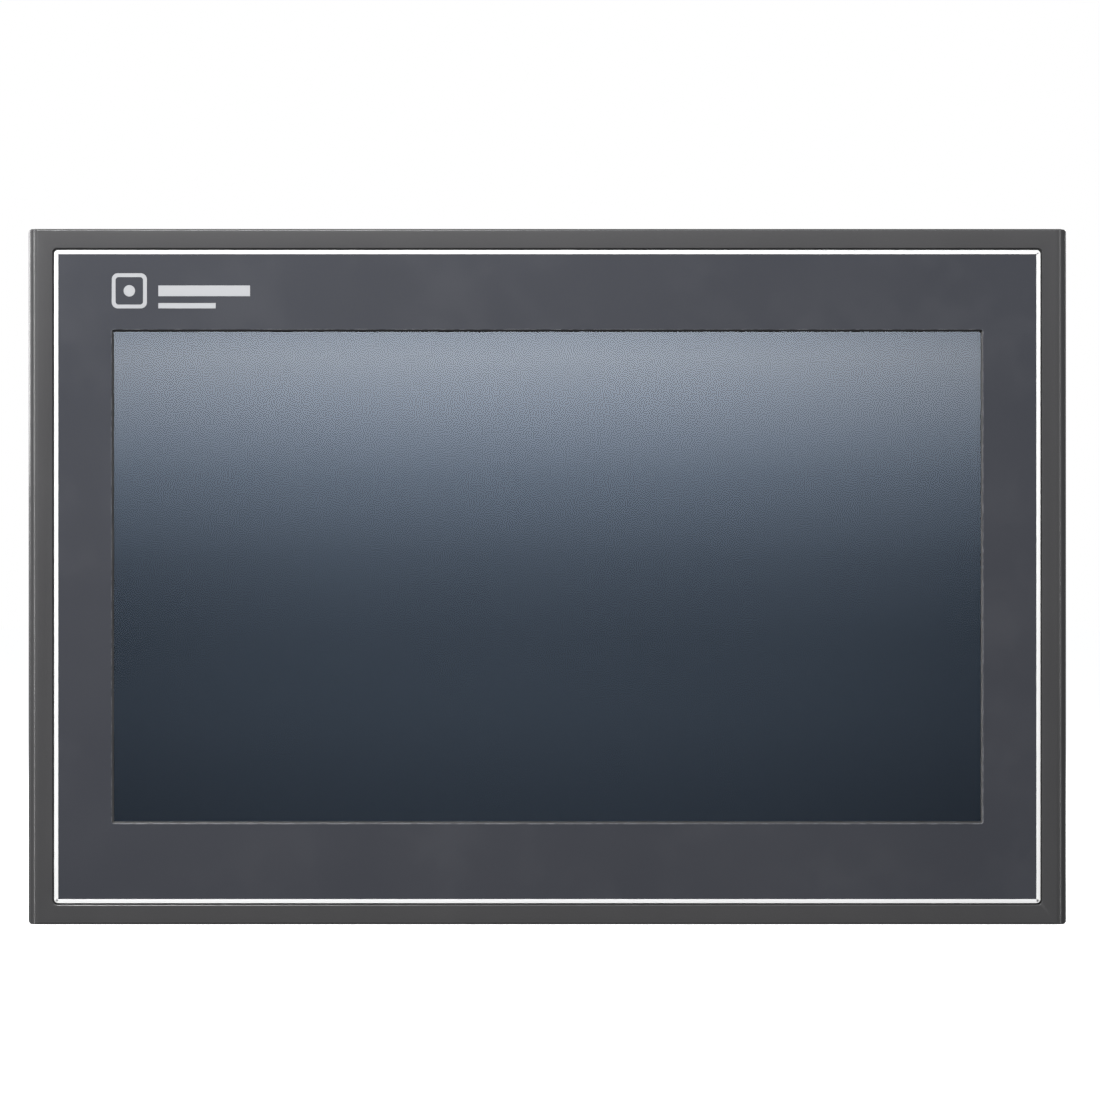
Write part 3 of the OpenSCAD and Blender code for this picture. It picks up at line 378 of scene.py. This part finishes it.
FINISHES = {
    "bezel_plastic": moulded("bezel_plastic", (0.052, 0.0515, 0.0535), 0.5, 0.28, 0.22, 0.07, 0.18,
                             dust=0.02, specular=0.2, coat=0.4),
    # The overlay film's pale grey edges at wear 0.9 are painted highlight along the cut edges of the film and
    # its window.
    "overlay_film": moulded("overlay_film", (0.0385, 0.041, 0.0505), 0.42, 0.22, 0.14, 0.05, 0.9,
                            (0.36, 0.37, 0.39), 0.02, 0.3),
    "printed_white": moulded("printed_white", (0.78, 0.78, 0.78), 0.5, 0.3, 0.1, 0.03, 0.05,
                             (0.7, 0.7, 0.7), 0.02),
    "printed_grey": moulded("printed_grey", (0.38, 0.385, 0.4), 0.5, 0.3, 0.1, 0.04, 0.05,
                            (0.4, 0.4, 0.4), 0.02),
    "gasket_rubber": cellular("gasket_rubber", (0.022, 0.022, 0.022), 0.35),
    "black_foam": cellular("black_foam", (0.02, 0.02, 0.021), 0.6),
    "touch_film": clear_layer("touch_film", (0.96, 0.98, 1.0), 1.5, 0.02),
    "touch_glass": clear_layer("touch_glass", (0.93, 0.97, 0.96), 1.02, 0.0),
    "flex_cable": moulded("flex_cable", (0.42, 0.2, 0.04), 0.3, 1.2, 0.1, 0.2, 0.1),
    "sheet_steel": plated("sheet_steel", (0.52, 0.52, 0.51), 0.33, SIDEWAYS),
    "zinc_plate": plated("zinc_plate", (0.56, 0.57, 0.58), 0.36, SIDEWAYS, bloom=0.3, bloom_size=6.0),
    "display_face": display_face("display_face"),
    "display_edge": moulded("display_edge", (0.008, 0.009, 0.011), 0.12, 2.0, 0.02, 0.1, 0.0, dust=0.0),
    "white_sheet": moulded("white_sheet", (0.8, 0.8, 0.78), 0.5, 0.3, 0.1, 0.03),
    "light_guide": clear_layer("light_guide", (0.95, 0.97, 0.98), 1.49, 0.05),
    "led_strip": moulded("led_strip", (0.75, 0.68, 0.4), 0.4, 0.5, 0.1, 0.15),
    "circuit_board": circuit_board("circuit_board"),
    "chip_package": moulded("chip_package", (0.022, 0.022, 0.023), 0.45, 0.15, 0.35, 0.15, 0.2),
    "black_aluminium": plated("black_aluminium", (0.03, 0.03, 0.032), 0.4, UPRIGHT, metallic=0.6),
    "capacitor_can": plated("capacitor_can", (0.66, 0.67, 0.69), 0.25, INWARD),
    "inductor_case": moulded("inductor_case", (0.09, 0.09, 0.095), 0.6, 0.12, 0.5, 0.3),
    "black_nylon": moulded("black_nylon", (0.02, 0.02, 0.021), 0.42, 0.2, 0.25),
    "green_nylon": moulded("green_nylon", (0.02, 0.14, 0.055), 0.42, 0.25, 0.2),
    "plug_green": moulded("plug_green", (0.025, 0.19, 0.075), 0.4, 0.25, 0.2),
    "red_nylon": moulded("red_nylon", (0.35, 0.02, 0.018), 0.38, 0.2, 0.15),
    "white_nylon": moulded("white_nylon", (0.7, 0.69, 0.66), 0.4, 0.2, 0.15, dust=0.05),
    "button_ivory": moulded("button_ivory", (0.62, 0.58, 0.46), 0.35, 0.2, 0.12, dust=0.05),
    "connector_shell": plated("connector_shell", (0.62, 0.61, 0.58), 0.24, SIDEWAYS, bloom=0.15),
    "nickel_screw": plated("nickel_screw", (0.64, 0.61, 0.56), 0.22, INWARD, 0.15),
    "zinc_screw": plated("zinc_screw", (0.6, 0.6, 0.6), 0.28, INWARD, 0.15),
    "black_screw": plated("black_screw", (0.05, 0.05, 0.053), 0.35, INWARD, 0.15, metallic=0.8,
                          worn=(0.4, 0.4, 0.4)),
    "brass_screw": plated("brass_screw", (0.62, 0.45, 0.18), 0.28, INWARD, 0.15, worn=(0.8, 0.65, 0.35)),
    "brass_part": plated("brass_part", (0.6, 0.44, 0.19), 0.3, INWARD, 0.2, worn=(0.8, 0.65, 0.35)),
    "cell_steel": plated("cell_steel", (0.66, 0.65, 0.63), 0.2, (0.3, 1.0, 0.3), 0.2),
    "cover_plastic": moulded("cover_plastic", (0.05, 0.05, 0.053), 0.55, 0.5, 0.45, 0.12, 0.25, dust=0.12),
    "door_plastic": moulded("door_plastic", (0.055, 0.055, 0.058), 0.52, 0.5, 0.4, 0.12, 0.3, dust=0.12),
    "label_foil": plated("label_foil", (0.36, 0.37, 0.38), 0.45, SIDEWAYS, 0.25, bloom=0.08, wear=0.1,
                         metallic=0.6),
    "clamp_steel": plated("clamp_steel", (0.5, 0.51, 0.52), 0.34, INWARD, bloom=0.3, bloom_size=3.0,
                          wear=0.4),
    "clamp_pad": moulded("clamp_pad", (0.025, 0.025, 0.026), 0.5, 0.25, 0.3, wear=0.4),
    "clamp_screw": plated("clamp_screw", (0.58, 0.58, 0.57), 0.3, INWARD, 0.2, bloom=0.25, wear=0.4),
}


# ---- Shapes ----

def shape_tree(name, inputs):
    """An empty geometry tree with its named inputs; gives the bench, the inputs and the output socket."""
    tree = bpy.data.node_groups.new(name, "GeometryNodeTree")
    for label, kind in {**inputs, "Finish": "Material"}.items():
        tree.interface.new_socket(name=label, in_out="INPUT", socket_type="NodeSocket" + kind)
    tree.interface.new_socket(name="Geometry", in_out="OUTPUT", socket_type="NodeSocketGeometry")
    bench = Bench(tree)
    return bench, bench.add("NodeGroupInput").outputs, bench.add("NodeGroupOutput").inputs[0]


def close_shape(bench, geometry, finish, end, smooth=True):
    """Real copies, smooth faces and the finish, as the last steps of a shape."""
    real = bench.add("GeometryNodeRealizeInstances", {0: geometry}).outputs[0]
    shaded = bench.add("GeometryNodeSetShadeSmooth", {"Geometry": real, "Shade Smooth": smooth}).outputs[0]
    painted = bench.add("GeometryNodeSetMaterial", {"Geometry": shaded, "Material": finish}).outputs[0]
    bench.plug(end, painted)


def add_object(name, mesh):
    piece = bpy.data.objects.new(name, mesh)
    bpy.context.scene.collection.objects.link(piece)
    return piece


def bake(piece):
    """Replaces a piece's mesh by what its modifiers make of it."""
    graph = bpy.context.evaluated_depsgraph_get()
    made = piece.evaluated_get(graph)
    mesh = bpy.data.meshes.new_from_object(made, preserve_all_data_layers=True, depsgraph=graph)
    piece.modifiers.clear()
    piece.data = mesh
    return piece


def grown(name, tree, slot, **sizes):
    """A plain mesh object made by a geometry tree with its named sizes."""
    piece = add_object(name, bpy.data.meshes.new(name))
    modifier = piece.modifiers.new("shape", "NODES")
    modifier.node_group = tree
    values = {**sizes, "Finish": FINISHES[slot]}
    for item in tree.interface.items_tree:
        if item.in_out == "INPUT" and item.name.replace(" ", "_") in values:
            modifier[item.identifier] = values[item.name.replace(" ", "_")]
    return bake(piece)


def settle(piece, body, slot, *nodes):
    """Ties a finished piece to its body and hides the nodes that it stands for. The slot is not used."""
    if nodes:
        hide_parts(*nodes)
    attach(piece, body)
    return piece


def frame_ring():
    """A flat ring with rounded corners and a rounded section, standing in the X-Z plane."""
    bench, given, end = shape_tree("frame ring", {
        "Width": "Float", "Height": "Float", "Corner": "Float", "Strip": "Float", "Thickness": "Float",
        "Round": "Float", "Depth": "Float"})
    outline = {"Width": given["Width"], "Height": given["Height"]}
    path = bench.add("GeometryNodeCurvePrimitiveQuadrilateral", outline)
    turned = bench.add("GeometryNodeFilletCurve", {0: path.outputs[0], "Radius": given["Corner"]})
    profile = {"Width": given["Strip"], "Height": given["Thickness"]}
    section = bench.add("GeometryNodeCurvePrimitiveQuadrilateral", profile)
    eased = bench.add("GeometryNodeFilletCurve", {0: section.outputs[0], "Radius": given["Round"]})
    for fillet, count in ((turned, 10), (eased, 4)):
        fillet.mode = "POLY"
        fillet.inputs["Count"].default_value = count
        fillet.inputs["Limit Radius"].default_value = True
    upright = bench.add("GeometryNodeSetCurveNormal", {0: turned.outputs[0]}, mode="Z_UP").outputs[0]
    swept = bench.add("GeometryNodeCurveToMesh", {0: upright, 1: eased.outputs[0]}).outputs[0]
    place = bench.add("ShaderNodeCombineXYZ", {"Y": given["Depth"]}).outputs[0]
    stood = bench.add("GeometryNodeTransform", {"Geometry": swept, "Translation": place,
                                                "Rotation": (math.pi / 2, 0.0, 0.0)}).outputs[0]
    close_shape(bench, stood, given["Finish"], end)
    return bench.tree


def softened(name, width, segments=2, angle=35.0):
    """A CAD node's own shape with its sharp edges eased, standing for that node."""
    mesh = NODES[name].data.copy()
    edit = bmesh.new()
    edit.from_mesh(mesh)
    bmesh.ops.remove_doubles(edit, verts=edit.verts, dist=0.002 * MM)
    bmesh.ops.dissolve_limit(edit, angle_limit=math.radians(0.4), verts=edit.verts, edges=edit.edges)
    edit.to_mesh(mesh)
    edit.free()
    mesh.shade_smooth()
    piece = add_object(name + "_made", mesh)
    bevel = piece.modifiers.new("eased edges", "BEVEL")
    bevel.width = width * MM
    bevel.segments = segments
    bevel.limit_method = "ANGLE"
    bevel.angle_limit = math.radians(angle)
    bevel.use_clamp_overlap = False
    bake(piece)
    low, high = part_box(name)
    for vertex in piece.data.vertices:
        vertex.co = [min(max(at, least), most) for at, least, most in zip(vertex.co, low, high)]
    piece.data.set_sharp_from_angle(angle=math.radians(20.0))
    piece.data.materials.clear()
    piece.data.materials.append(FINISHES[SLOT_OF[name]])
    return settle(piece, BODY_OF[name], SLOT_OF[name], name)


for name, node in NODES.items():
    node.material_slots[0].material = FINISHES[SLOT_OF[name]]

EASED = {
    "front_bezel": 0.2, "front_overlay": 0.14, "rear_cover": 0.25, "bay_frame": 0.2, "bay_door": 0.2,
    "clamp_bodies": 0.25, "port_plate": 0.1, "heat_sink": 0.15, "lan_jack": 0.12, "usb_ports": 0.1,
    "power_socket": 0.15, "battery_holder": 0.15, "dip_switch": 0.15, "reset_switch": 0.12, "power_plug": 0.2,
    "dip_lever_1": 0.12, "dip_lever_2": 0.12, "inductors": 0.3, "memory_chips": 0.1, "processor": 0.12,
    "lcd_front_frame": 0.08,
}
for name, width in EASED.items():
    softened(name, width)

RING = frame_ring()
line_low, line_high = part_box("border_line")
LINE_WIDTH = 1.05 * MM
border = grown("border_line_print", RING, "printed_white", Width=line_high.x - line_low.x - LINE_WIDTH,
               Height=line_high.z - line_low.z - LINE_WIDTH, Corner=0.5 * MM, Strip=LINE_WIDTH,
               Thickness=line_high.y - line_low.y, Round=0.015 * MM, Depth=(line_low.y + line_high.y) / 2)
settle(border, "housing", "printed_white", "border_line")

seal_low, seal_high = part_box("panel_gasket")
SEAL_WIDTH = 2.8 * MM
seal = grown("panel_gasket_strip", RING, "gasket_rubber", Width=seal_high.x - seal_low.x - SEAL_WIDTH,
             Height=seal_high.z - seal_low.z - SEAL_WIDTH, Corner=2.5 * MM, Strip=SEAL_WIDTH,
             Thickness=seal_high.y - seal_low.y, Round=0.5 * MM, Depth=(seal_low.y + seal_high.y) / 2)
settle(seal, "housing", "gasket_rubber", "panel_gasket")

# Black ring in the gap between the overlay and the bezel: painted shadow, a dark strip standing in for the
# shade that falls in that gap.
film_low, film_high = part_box("front_overlay")
SHADOW_BEAD_WIDTH = 0.36 * MM
shadow_bead = grown("overlay_bead", RING, "black_foam", Width=film_high.x - film_low.x + 0.4 * MM,
             Height=film_high.z - film_low.z + 0.4 * MM, Corner=1.1 * MM, Strip=SHADOW_BEAD_WIDTH,
             Thickness=0.08 * MM, Round=0.02 * MM, Depth=film_high.y - 0.04 * MM)
settle(shadow_bead, "housing", "black_foam")


def thread_rule():
    """A closed threaded rod along Y: a grid wrapped round the axis, its radius following a helix."""
    bench, given, end = shape_tree("threaded rod", {
        "Axis": "Vector", "Length": "Float", "Crest": "Float", "Tooth": "Float", "Pitch": "Float",
        "Rings": "Int"})
    plugs = {"Size X": 1.0, "Size Y": 1.0, "Vertices X": 17, "Vertices Y": given["Rings"]}
    sheet = bench.add("GeometryNodeMeshGrid", plugs).outputs["Mesh"]
    at = bench.add("ShaderNodeSeparateXYZ", {0: bench.add("GeometryNodeInputPosition").outputs[0]}).outputs
    turn = bench.math("ADD", at["X"], 0.5)
    along = bench.math("ADD", at["Y"], 0.5)
    reach = bench.math("MULTIPLY", along, given["Length"])
    phase = bench.math("FRACT", bench.math("ADD", bench.math("DIVIDE", reach, given["Pitch"]), turn))
    fall = bench.math("MULTIPLY", bench.math("ABSOLUTE", bench.math("SUBTRACT", phase, 0.5)), 2.0)
    radius = bench.math("SUBTRACT", given["Crest"], bench.math("MULTIPLY", fall, given["Tooth"]))
    inside = bench.math("LESS_THAN", bench.math("ABSOLUTE", at["Y"]), 0.4999)
    radius = bench.math("MULTIPLY", radius, inside)
    angle = bench.math("MULTIPLY", turn, -2.0 * math.pi)
    plugs = {"X": bench.math("MULTIPLY", radius, bench.math("COSINE", angle)), "Y": reach,
             "Z": bench.math("MULTIPLY", radius, bench.math("SINE", angle))}
    spot = bench.add("ShaderNodeCombineXYZ", plugs).outputs[0]
    moved = bench.add("ShaderNodeVectorMath", {0: spot, 1: given["Axis"]}, operation="ADD").outputs[0]
    wound = bench.add("GeometryNodeSetPosition", {"Geometry": sheet, "Position": moved}).outputs[0]
    joined = bench.add("GeometryNodeMergeByDistance", {"Geometry": wound, "Distance": 0.001 * MM}).outputs[0]
    close_shape(bench, joined, given["Finish"], end, smooth=False)
    return bench.tree


def joined_mesh(name, *pieces):
    """One object from several, with outward faces."""
    edit = bmesh.new()
    for piece in pieces:
        edit.from_mesh(piece.data)
    mesh = pieces[0].data.copy()
    edit.to_mesh(mesh)
    edit.free()
    for piece in pieces:
        bpy.data.objects.remove(piece)
    return add_object(name, mesh)


def outward(piece):
    """Turns every face of a piece to look out of it."""
    edit = bmesh.new()
    edit.from_mesh(piece.data)
    bmesh.ops.recalc_face_normals(edit, faces=edit.faces)
    edit.to_mesh(piece.data)
    edit.free()
    return piece


THREAD = thread_rule()
SHANK_R, CORE_R, TOOTH, PITCH = 2.0 * MM, 1.45 * MM, 0.38 * MM, 0.7 * MM
THREAD_START, THREAD_END, RINGS = 5.7 * MM, 33.4 * MM, 241


def clamp_screw(number):
    """A clamp screw: the CAD head and tip, with a real thread in place of the plain shank."""
    name = f"clamp_screw_{number}"
    low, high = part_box(name)
    middle = (low + high) / 2
    core = add_object(name + "_core", NODES[name].data.copy())
    for vertex in core.data.vertices:
        aside = Vector((vertex.co.x - middle.x, 0.0, vertex.co.z - middle.z))
        if abs(aside.length - SHANK_R) < 0.05 * MM:
            vertex.co -= aside.normalized() * (aside.length - CORE_R)
    thread = grown(name + "_thread", THREAD, "clamp_screw", Axis=(middle.x, THREAD_START, middle.z),
                   Length=THREAD_END - THREAD_START, Crest=SHANK_R, Tooth=TOOTH, Pitch=PITCH, Rings=RINGS)
    outward(thread)
    made = joined_mesh(name + "_made", core, thread)
    made.data.materials.clear()
    made.data.materials.append(FINISHES["clamp_screw"])
    settle(made, f"screw_{number}", "clamp_screw", name)


for number in range(1, 5):
    clamp_screw(number)


def row_rule():
    """Rows of upright round contacts, one per grid point."""
    bench, given, end = shape_tree("contact rows", {
        "Start": "Vector", "Step": "Vector", "Count": "Int", "Contact Radius": "Float",
        "Contact Length": "Float"})
    line = bench.add("GeometryNodeMeshLine", {"Count": given["Count"], "Start Location": given["Start"],
                                              "Offset": given["Step"]}).outputs[0]
    plugs = {"Vertices": 12, "Radius": given["Contact Radius"], "Depth": given["Contact Length"]}
    pin = bench.add("GeometryNodeMeshCylinder", plugs).outputs["Mesh"]
    placed = bench.add("GeometryNodeInstanceOnPoints", {"Points": line, "Instance": pin}).outputs[0]
    close_shape(bench, placed, given["Finish"], end, smooth=False)
    return bench.tree


ROWS = row_rule()
# Two serial ports, each with a row of five contacts and a row of four: count, first one aside, row's depth.
PORT_MIDDLES = (34.0 * MM, -4.0 * MM)
CONTACT_ROWS = ((5, -5.54 * MM, 1.42 * MM), (4, -4.155 * MM, -1.42 * MM))
PORT_DEPTH, CONTACT_Z, CONTACT_STEP = 21.2 * MM, -64.6 * MM, 2.77 * MM
for port, port_x in enumerate(PORT_MIDDLES, start=1):
    for row, (count, first_x, aside_y) in enumerate(CONTACT_ROWS, start=1):
        pins = grown(f"com_{port}_contacts_{row}", ROWS, "brass_part",
                     Start=(port_x + first_x, PORT_DEPTH + aside_y, CONTACT_Z), Step=(CONTACT_STEP, 0.0, 0.0),
                     Count=count, Contact_Radius=0.5 * MM, Contact_Length=3.4 * MM)
        settle(pins, "housing", "brass_part")


def eased_block(name, low, high, slot, edge):
    """A small block between two corners in millimetres, its edges rounded."""
    edit = bmesh.new()
    bmesh.ops.create_cube(edit, size=1.0)
    low, high = Vector(low) * MM, Vector(high) * MM
    for vertex in edit.verts:
        vertex.co = Vector(((low[i] + high[i]) / 2 + vertex.co[i] * (high[i] - low[i]) for i in range(3)))
    bmesh.ops.bevel(edit, geom=edit.edges[:], offset=edge * MM, segments=2, affect="EDGES")
    mesh = bpy.data.meshes.new(name)
    edit.to_mesh(mesh)
    edit.free()
    mesh.materials.append(FINISHES[slot])
    return settle(add_object(name, mesh), "housing", slot)


eased_block("usb_host_tongue", (-57.74, 15.36, -62.05), (-46.26, 17.24, -52.7), "white_nylon", 0.12)
eased_block("usb_device_tongue", (-36.84, 18.46, -62.05), (-31.16, 21.64, -52.7), "white_nylon", 0.12)
eased_block("lan_light_green", (-82.14, 25.46, -62.5), (-78.86, 27.14, -61.6), "plug_green", 0.1)
eased_block("lan_light_amber", (-71.14, 25.46, -62.5), (-67.86, 27.14, -61.6), "flex_cable", 0.1)

# Printed rules on the blank label.
label_low, label_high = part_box("rating_label")
rule_y = label_high.y + 0.015 * MM
rules = grown("label_frame", RING, "overlay_film", Width=label_high.x - label_low.x - 3 * MM,
              Height=label_high.z - label_low.z - 3 * MM, Corner=1.2 * MM, Strip=0.35 * MM,
              Thickness=0.03 * MM, Round=0.01 * MM, Depth=rule_y)
label_middle = (label_low + label_high) / 2
rules.data.transform(Matrix.Translation((label_middle.x, 0.0, label_middle.z)))
settle(rules, "housing", "overlay_film")
for number, z in enumerate((15.5, 6.0, -3.5), start=1):
    eased_block(f"label_rule_{number}", (-71.4, 45.85, z - 0.12), (-0.6, 45.88, z + 0.12), "overlay_film",
                0.01)
eased_block("label_rule_4", (-44.12, 45.85, -11.4), (-43.88, 45.88, 15.4), "overlay_film", 0.01)


# ---- Stage ----

def stage_plane(name, corners, material):
    """A flat sheet of the studio, outside the object."""
    mesh = bpy.data.meshes.new(name)
    mesh.from_pydata(corners, [], [(0, 1, 2, 3)])
    mesh.materials.append(material)
    plane = add_object(name, mesh)
    return plane


def floor_material():
    """Pale floor: nearly white to the eye, and a soft lift for what stands on it."""
    material = bpy.data.materials.new("pale_floor")
    material.use_nodes = True
    material.node_tree.nodes.clear()
    bench = Bench(material.node_tree)
    seen = bench.add("ShaderNodeLightPath").outputs["Is Camera Ray"]
    pale = bench.add("ShaderNodeBsdfDiffuse", {"Color": (0.8, 0.8, 0.8, 1.0)}).outputs[0]
    lift = bench.add("ShaderNodeEmission", {"Color": (1.0, 1.0, 1.0, 1.0), "Strength": 0.8}).outputs[0]
    bright = bench.add("ShaderNodeAddShader", {0: pale, 1: lift}).outputs[0]
    lifting = bench.add("ShaderNodeEmission", {"Color": (1.0, 1.0, 1.0, 1.0), "Strength": 0.4}).outputs[0]
    both = bench.add("ShaderNodeMixShader", {0: seen, 1: lifting, 2: bright}).outputs[0]
    bench.add("ShaderNodeOutputMaterial", {"Surface": both})
    return material


CARD_LOW, CARD_HIGH, CARD_HALF_WIDTH, CARD_AT = -0.14, 0.125, 0.212, -1.632
CARD_REACH, CARD_FOOT, CARD_TOP = 0.6, -0.3, 0.5
CARD_STRENGTH, CARD_BOW, CARD_LEAN = 9.2, -0.2, -0.06
# Height on the card, from low to high, and its brightness there.
CARD_LEVELS = ((0.0, 0.085), (0.12, 0.105), (0.22, 0.125), (0.3, 0.135), (0.38, 0.145), (0.46, 0.175),
               (0.54, 0.22), (0.62, 0.31), (0.7, 0.415), (0.78, 0.58), (0.86, 0.76), (0.94, 0.94),
               (1.0, 0.84))


def sky_card_material():
    """The soft, graded light that the display mirrors: bright high up, fading low down and to the sides."""
    material = bpy.data.materials.new("graded_card")
    material.use_nodes = True
    material.node_tree.nodes.clear()
    bench = Bench(material.node_tree)
    split = bench.add("ShaderNodeSeparateXYZ", {0: bench.place()}).outputs
    ramp = bench.add("ShaderNodeValToRGB", {0: bench.span(split["Z"], CARD_LOW, CARD_HIGH)})
    line = ramp.color_ramp.elements
    for at, level in CARD_LEVELS:
        element = line[0] if at == 0.0 else line[-1] if at == 1.0 else line.new(at)
        element.color = ((0.74 + 0.16 * level) * level, level, (1.4 - 0.25 * level) * level, 1.0)
    across = bench.math("DIVIDE", split["X"], CARD_HALF_WIDTH)
    bow = bench.math("MULTIPLY", bench.math("MULTIPLY", across, across), CARD_BOW)
    lean = bench.math("MULTIPLY", across, CARD_LEAN)
    level = bench.math("MULTIPLY", bench.math("ADD", 1.0, bench.math("ADD", bow, lean)), CARD_STRENGTH)
    glow = bench.add("ShaderNodeEmission", {"Color": ramp.outputs[0], "Strength": level}).outputs[0]
    bench.add("ShaderNodeOutputMaterial", {"Surface": glow})
    return material


floor_z = cad_low.z - 0.1 * MM
FAR = 6.0
floor_corners = [(x, y, floor_z) for x, y in ((-FAR, -FAR), (FAR, -FAR), (FAR, FAR), (-FAR, FAR))]
floor = stage_plane("floor", floor_corners, floor_material())
floor.visible_glossy = False
floor.visible_transmission = False
card_corners = [(-CARD_REACH, CARD_AT, CARD_FOOT), (CARD_REACH, CARD_AT, CARD_FOOT),
                (CARD_REACH, CARD_AT, CARD_TOP), (-CARD_REACH, CARD_AT, CARD_TOP)]
card = stage_plane("graded_card", card_corners, sky_card_material())
card.visible_camera = False
card.visible_diffuse = False
card.visible_shadow = False
mirrored_by = bpy.data.collections.new("display_stack")
for name in ("touch_film", "touch_glass", "lcd_polariser", "lcd_cell"):
    mirrored_by.objects.link(NODES[name])
card.light_linking.receiver_collection = mirrored_by

world = bpy.data.worlds.new("studio")
world.use_nodes = True
world.node_tree.nodes.clear()
bench = Bench(world.node_tree)
seen = bench.add("ShaderNodeLightPath").outputs["Is Camera Ray"]
soft = bench.add("ShaderNodeBackground", {"Color": (0.95, 0.98, 1.0, 1.0), "Strength": 0.25}).outputs[0]
white = bench.add("ShaderNodeBackground", {"Color": (1.0, 1.0, 1.0, 1.0), "Strength": 1.0}).outputs[0]
both = bench.add("ShaderNodeMixShader", {0: seen, 1: soft, 2: white}).outputs[0]
bench.add("ShaderNodeOutputWorld", {"Surface": both})
bpy.context.scene.world = world


def soft_box(name, place, power, width, height, gloss_only=False):
    """An area light that looks at the object's middle and isn't seen itself."""
    light = bpy.data.lights.new(name, "AREA")
    light.energy = power
    light.shape = "RECTANGLE"
    light.size = width
    light.size_y = height
    lamp = bpy.data.objects.new(name, light)
    lamp.location = place
    lamp.rotation_mode = "QUATERNION"
    lamp.rotation_quaternion = (-Vector(place)).to_track_quat("-Z", "Y")
    lamp.visible_camera = False
    lamp.visible_diffuse = not gloss_only
    bpy.context.scene.collection.objects.link(lamp)


soft_box("key", (-0.22, -0.57, 0.585), 11.4, 0.3, 0.3)
soft_box("left_strip", (-0.8, -0.45, 0.0), 6.0, 0.08, 0.8, gloss_only=True)
soft_box("right_strip", (0.8, -0.45, 0.0), 3.0, 0.08, 0.8, gloss_only=True)
soft_box("back_left", (0.55, 0.75, 0.5), 11.0, 0.5, 0.5)
soft_box("back_right", (-0.7, 0.5, 0.3), 6.0, 0.5, 0.5)

lens = bpy.data.cameras.new("camera")
lens.lens = 200.0
lens.sensor_width = 36.0
camera = bpy.data.objects.new("camera", lens)
camera.location = (0.0007, -1.6072, 0.00697)
camera.rotation_euler = (math.pi / 2, 0.0, 0.0)
bpy.context.scene.collection.objects.link(camera)
bpy.context.scene.camera = camera
bpy.context.scene.view_settings.view_transform = "Standard"
